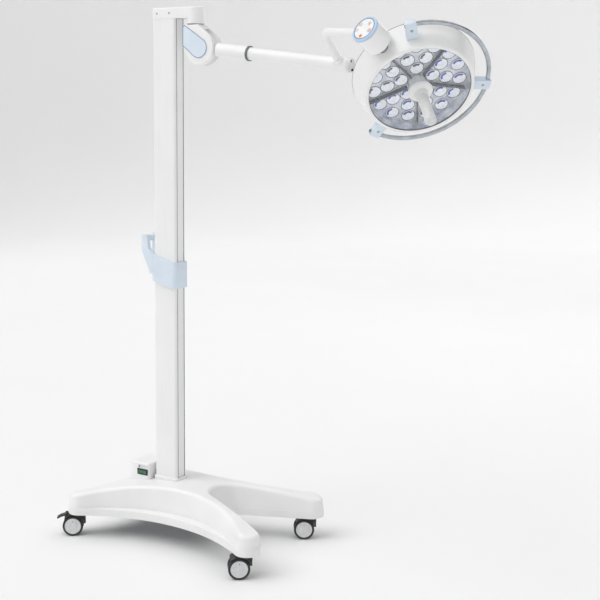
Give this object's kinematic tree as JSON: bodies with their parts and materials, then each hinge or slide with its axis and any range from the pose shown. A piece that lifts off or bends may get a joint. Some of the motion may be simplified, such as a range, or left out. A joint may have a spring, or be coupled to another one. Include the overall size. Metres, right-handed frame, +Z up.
{
  "type": "surgical light",
  "caption": "Mobile surgical light: a round LED dome on a hooked yoke and balanced arm, carried by a tall column on a castored base.",
  "frame": {"origin": "bottom centre of the whole light's box, on the floor", "axes": "+Z up, +X from the column towards the front legs and the dome"},
  "size_m": [1.5078, 0.5346, 1.925],
  "materials": {
    "shell_white": "moulded ABS, fine texture",
    "frame_steel": "powder coated",
    "ballast_iron": "as cast",
    "supply_case": "sheet",
    "socket_black": "moulded",
    "rocker_green": "translucent",
    "column_white": "powder coated white",
    "cap_white": "powder coated white",
    "bush_bronze": "machined",
    "pale_blue": "moulded pale blue",
    "spindle_steel": "turned",
    "arm_white": "enamel",
    "ring_dark": "moulded",
    "strut_black": "painted",
    "disc_grey": "moulded",
    "pod_white": "enamel",
    "panel_white": "printed film",
    "key_white": "domed film",
    "dome_white": "painted white",
    "window_clear": "clear polycarbonate",
    "lens_clear": "moulded acrylic",
    "reflector_silver": "metallised",
    "board_white": "solder mask",
    "heat_sink": "anodised",
    "ring_chrome": "polished",
    "clamp_blue": "moulded pale blue",
    "hub_white": "moulded",
    "grip_white": "autoclavable polymer",
    "caster_black": "moulded nylon",
    "tyre_black": "polyurethane",
    "hub_grey": "moulded"
  },
  "bodies": {
    "stand": {"base_shell": "shell_white", "base_frame": "frame_steel", "ballast_plates": "ballast_iron", "rear_housing": "shell_white", "power_supply": "supply_case", "inlet_socket": "socket_black", "switch_frame": "socket_black", "foot_trim": "shell_white", "column_profile": "column_white", "column_strip": "column_white", "column_cap": "cap_white", "swivel_bush": "bush_bronze", "push_handle": "pale_blue"},
    "switch": {"switch_rocker": "rocker_green"},
    "knuckle": {"swivel_spindle": "spindle_steel", "knuckle_housing": "cap_white", "knuckle_plates": "pale_blue", "hinge_pin": "spindle_steel"},
    "arm": {"arm_root": "cap_white", "arm_sleeve": "arm_white", "arm_ring": "ring_dark", "arm_tube": "arm_white", "balance_strut": "strut_black", "arm_spigot": "spindle_steel"},
    "yoke": {"yoke_sleeve": "arm_white", "end_disc": "disc_grey", "yoke_tube": "arm_white", "pod_body": "pod_white", "pod_ring": "pale_blue", "pod_panel": "panel_white"},
    "dome": {"dome_pivot": "spindle_steel", "dome_back": "dome_white", "dome_bezel": "dome_white", "window": "window_clear", "reflector_plate": "reflector_silver", "lens_set": "lens_clear", "led_board": "board_white", "led_carrier": "heat_sink", "grip_ring": "ring_chrome", "ring_clamps": "clamp_blue", "handle_hub": "hub_white"},
    "grip": {"sterile_grip": "grip_white"},
    "key_1": {"key_1": "key_white"},
    "key_2": {"key_2": "key_white"},
    "key_3": {"key_3": "key_white"},
    "key_4": {"key_4": "key_white"},
    "caster_fl": {"caster_housing_fl": "caster_black"},
    "wheels_fl": {"tyres_fl": "tyre_black", "hubs_fl": "hub_grey"},
    "caster_fr": {"caster_housing_fr": "caster_black"},
    "wheels_fr": {"tyres_fr": "tyre_black", "hubs_fr": "hub_grey"},
    "caster_rl": {"caster_housing_rl": "caster_black"},
    "wheels_rl": {"tyres_rl": "tyre_black", "hubs_rl": "hub_grey"},
    "caster_rr": {"caster_housing_rr": "caster_black"},
    "wheels_rr": {"tyres_rr": "tyre_black", "hubs_rr": "hub_grey"},
    "pedal_rl": {"brake_pedal_rl": "caster_black"},
    "pedal_rr": {"brake_pedal_rr": "caster_black"}
  },
  "joints": [
    {"name": "arm_swing", "type": "hinge", "parent": "stand", "child": "knuckle", "pos_m": [-0.29808, 0.00833, 1.887], "axis": [0, 0, 1], "range_deg": [-120, 120]},
    {"name": "arm_lift", "type": "hinge", "parent": "knuckle", "child": "arm", "pos_m": [-0.26308, 0.00833, 1.782], "axis": [0, -1, 0], "range_deg": [-45, 40]},
    {"name": "arm_roll", "type": "hinge", "parent": "arm", "child": "yoke", "pos_m": [0.25358, 0.00833, 1.72313], "axis": [0.9936, 0, -0.1132], "range_deg": [-110, 110]},
    {"name": "dome_turn", "type": "hinge", "parent": "yoke", "child": "dome", "pos_m": [0.54455, 0.03911, 1.66514], "axis": [-0.2287, -0.8214, 0.5224], "range_deg": [-60, 60]},
    {"name": "grip_pull", "type": "slide", "parent": "dome", "child": "grip", "axis": [0.5273, -0.5557, -0.6428], "range_m": [0, 0.12]},
    {"name": "switch_rock", "type": "hinge", "parent": "stand", "child": "switch", "pos_m": [-0.51008, -0.04047, 0.221], "axis": [0, 0, 1], "range_deg": [-6, 6]},
    {"name": "key_1_press", "type": "slide", "parent": "yoke", "child": "key_1", "axis": [0.2287, 0.8214, -0.5224], "range_m": [0, 0.0005], "stiffness_N_per_m": 400},
    {"name": "key_2_press", "type": "slide", "parent": "yoke", "child": "key_2", "axis": [0.2287, 0.8214, -0.5224], "range_m": [0, 0.0005], "stiffness_N_per_m": 400},
    {"name": "key_3_press", "type": "slide", "parent": "yoke", "child": "key_3", "axis": [0.2287, 0.8214, -0.5224], "range_m": [0, 0.0005], "stiffness_N_per_m": 400},
    {"name": "key_4_press", "type": "slide", "parent": "yoke", "child": "key_4", "axis": [0.2287, 0.8214, -0.5224], "range_m": [0, 0.0005], "stiffness_N_per_m": 400},
    {"name": "swivel_fl", "type": "hinge", "parent": "stand", "child": "caster_fl", "pos_m": [0.06892, 0.22233, 0.085], "axis": [0, 0, 1], "continuous": true},
    {"name": "wheels_turn_fl", "type": "hinge", "parent": "caster_fl", "child": "wheels_fl", "pos_m": [0.04544, 0.20708, 0.0375], "axis": [-0.5446, 0.8387, 0], "continuous": true},
    {"name": "swivel_fr", "type": "hinge", "parent": "stand", "child": "caster_fr", "pos_m": [0.06892, -0.20567, 0.085], "axis": [0, 0, 1], "continuous": true},
    {"name": "wheels_turn_fr", "type": "hinge", "parent": "caster_fr", "child": "wheels_fr", "pos_m": [0.04686, -0.22291, 0.0375], "axis": [-0.6157, 0.788, 0], "continuous": true},
    {"name": "swivel_rl", "type": "hinge", "parent": "stand", "child": "caster_rl", "pos_m": [-0.67208, 0.22233, 0.085], "axis": [0, 0, 1], "continuous": true},
    {"name": "wheels_turn_rl", "type": "hinge", "parent": "caster_rl", "child": "wheels_rl", "pos_m": [-0.69633, 0.20833, 0.0375], "axis": [-0.5, 0.866, 0], "continuous": true},
    {"name": "pedal_press_rl", "type": "hinge", "parent": "caster_rl", "child": "pedal_rl", "pos_m": [-0.71884, 0.19533, 0.0785], "axis": [0.5, -0.866, 0], "range_deg": [0, 10]},
    {"name": "swivel_rr", "type": "hinge", "parent": "stand", "child": "caster_rr", "pos_m": [-0.67208, -0.20567, 0.085], "axis": [0, 0, 1], "continuous": true},
    {"name": "wheels_turn_rr", "type": "hinge", "parent": "caster_rr", "child": "wheels_rr", "pos_m": [-0.69473, -0.22213, 0.0375], "axis": [-0.5878, 0.809, 0], "continuous": true},
    {"name": "pedal_press_rr", "type": "hinge", "parent": "caster_rr", "child": "pedal_rr", "pos_m": [-0.71577, -0.23741, 0.0785], "axis": [0.5878, -0.809, 0], "range_deg": [0, 10]}
  ]
}
